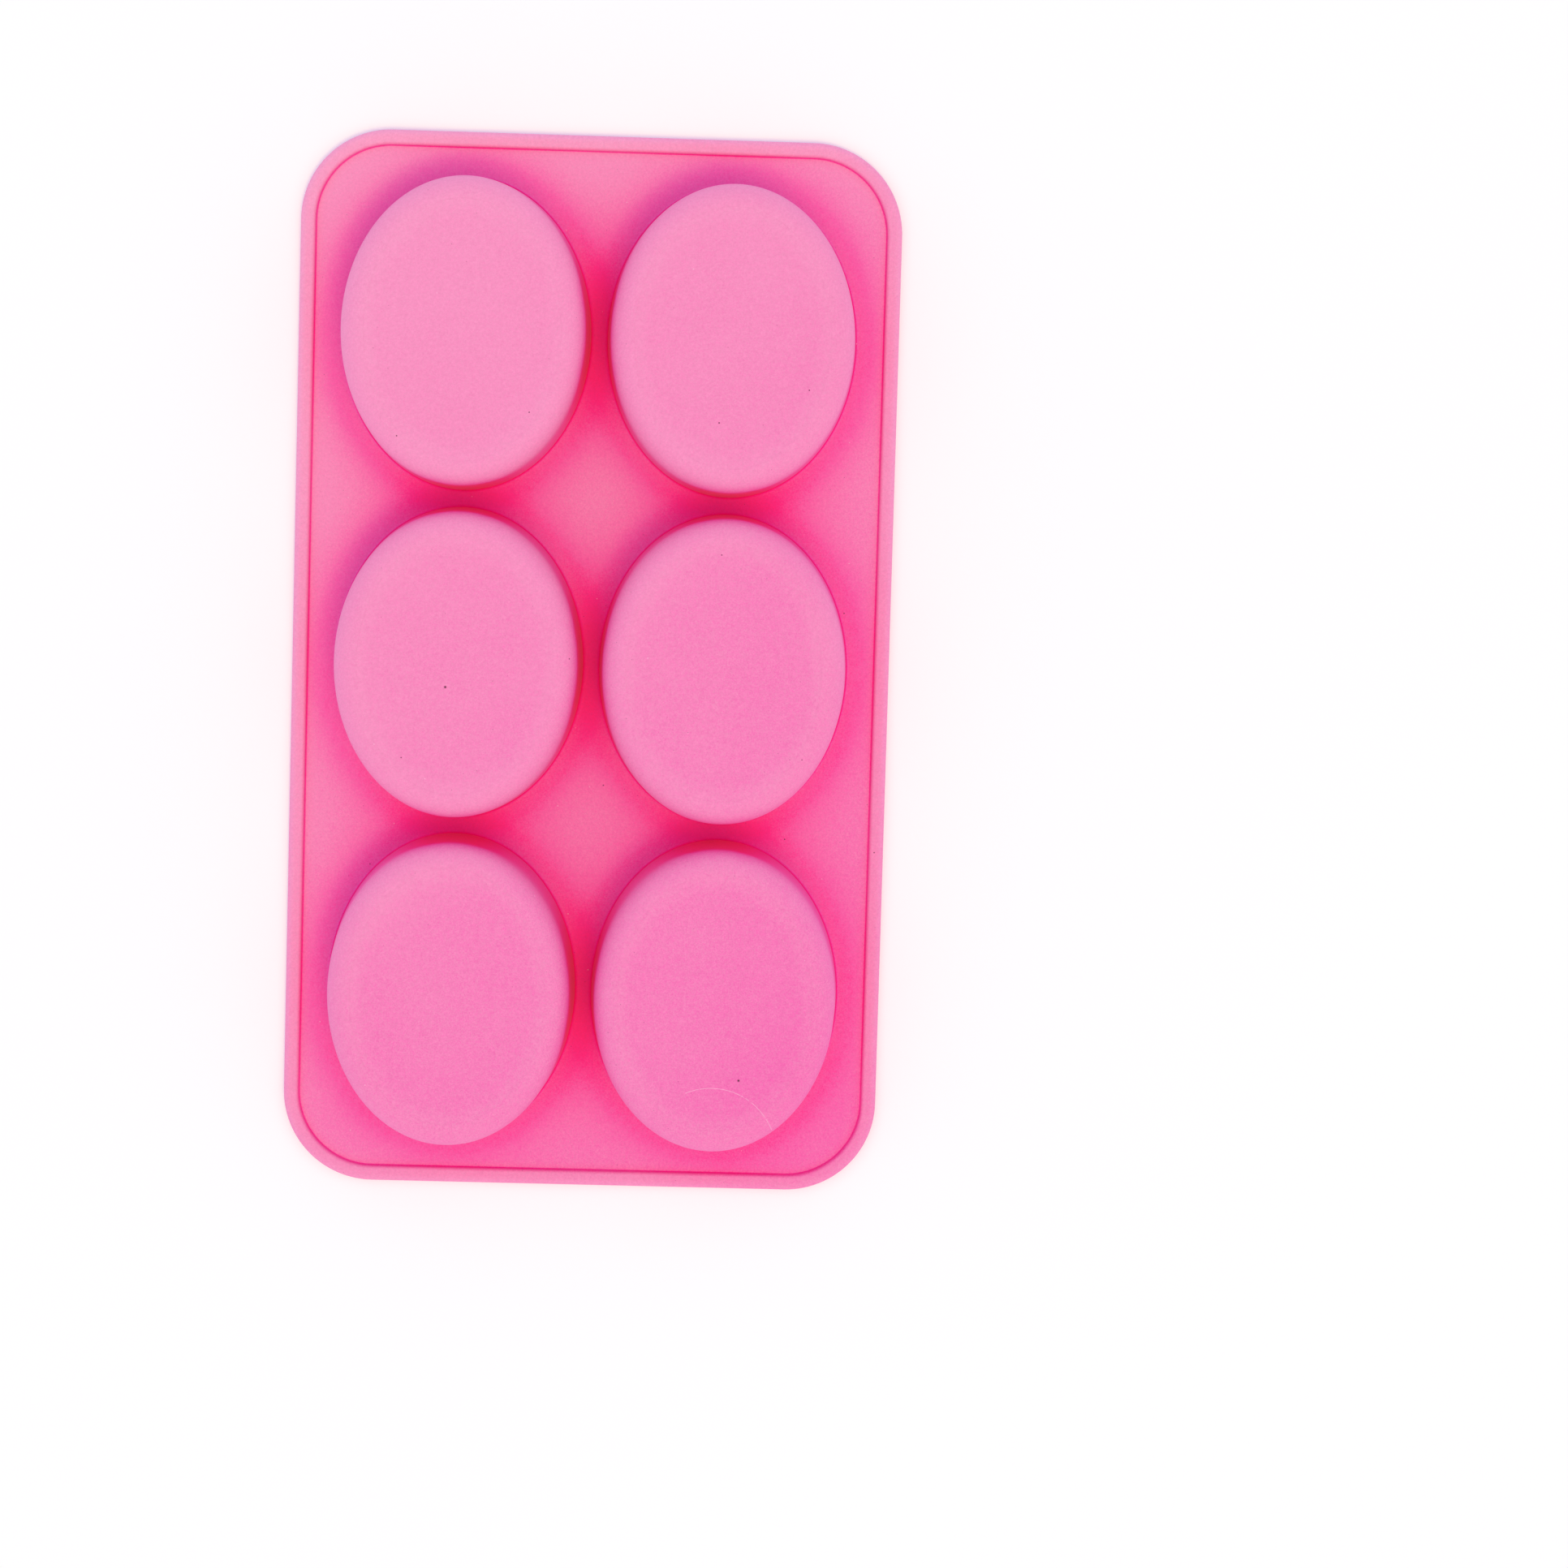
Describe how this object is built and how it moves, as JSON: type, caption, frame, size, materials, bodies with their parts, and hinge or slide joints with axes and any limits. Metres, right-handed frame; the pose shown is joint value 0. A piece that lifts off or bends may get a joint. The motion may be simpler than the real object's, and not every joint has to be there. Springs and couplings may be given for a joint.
{
  "type": "silicone soap mould",
  "caption": "Flexible rectangular silicone mould with a grid of oval cups, a flat deck and a beaded edge, lying open face down. Cup floors push through and the rows bend.",
  "frame": {"origin": "centre of the open face, which lies on the plane z = 0", "axes": "+Z out of the open face's plane towards the cup floors, +Y along the mould's length towards the back row, +X across it"},
  "size_m": [0.159, 0.28, 0.025],
  "materials": {
    "silicone": "matt, soft, slightly translucent pink silicone with a fine moulded grain"
  },
  "bodies": {
    "tray_middle": {"deck_middle": "silicone", "rim_left": "silicone", "rim_right": "silicone", "cup_middle_left_wall": "silicone", "cup_middle_right_wall": "silicone"},
    "tray_back": {"deck_back": "silicone", "rim_back": "silicone", "cup_back_left_wall": "silicone", "cup_back_right_wall": "silicone"},
    "tray_front": {"deck_front": "silicone", "rim_front": "silicone", "cup_front_left_wall": "silicone", "cup_front_right_wall": "silicone"},
    "floor_back_left": {"cup_back_left_floor": "silicone"},
    "floor_back_right": {"cup_back_right_floor": "silicone"},
    "floor_middle_left": {"cup_middle_left_floor": "silicone"},
    "floor_middle_right": {"cup_middle_right_floor": "silicone"},
    "floor_front_left": {"cup_front_left_floor": "silicone"},
    "floor_front_right": {"cup_front_right_floor": "silicone"}
  },
  "joints": [
    {"name": "back_flex", "type": "hinge", "parent": "tray_middle", "child": "tray_back", "pos_m": [0, 0.0435, 0.001], "axis": [-1, 0, 0], "range_deg": [-15, 45], "stiffness_Nm_per_rad": 0.04},
    {"name": "front_flex", "type": "hinge", "parent": "tray_middle", "child": "tray_front", "pos_m": [0, -0.0435, 0.001], "axis": [1, 0, 0], "range_deg": [-15, 45], "stiffness_Nm_per_rad": 0.04},
    {"name": "back_left_push", "type": "slide", "parent": "tray_back", "child": "floor_back_left", "axis": [0, 0, -1], "range_m": [0, 0.02], "stiffness_N_per_m": 500},
    {"name": "back_right_push", "type": "slide", "parent": "tray_back", "child": "floor_back_right", "axis": [0, 0, -1], "range_m": [0, 0.02], "stiffness_N_per_m": 500},
    {"name": "middle_left_push", "type": "slide", "parent": "tray_middle", "child": "floor_middle_left", "axis": [0, 0, -1], "range_m": [0, 0.02], "stiffness_N_per_m": 500},
    {"name": "middle_right_push", "type": "slide", "parent": "tray_middle", "child": "floor_middle_right", "axis": [0, 0, -1], "range_m": [0, 0.02], "stiffness_N_per_m": 500},
    {"name": "front_left_push", "type": "slide", "parent": "tray_front", "child": "floor_front_left", "axis": [0, 0, -1], "range_m": [0, 0.02], "stiffness_N_per_m": 500},
    {"name": "front_right_push", "type": "slide", "parent": "tray_front", "child": "floor_front_right", "axis": [0, 0, -1], "range_m": [0, 0.02], "stiffness_N_per_m": 500}
  ]
}
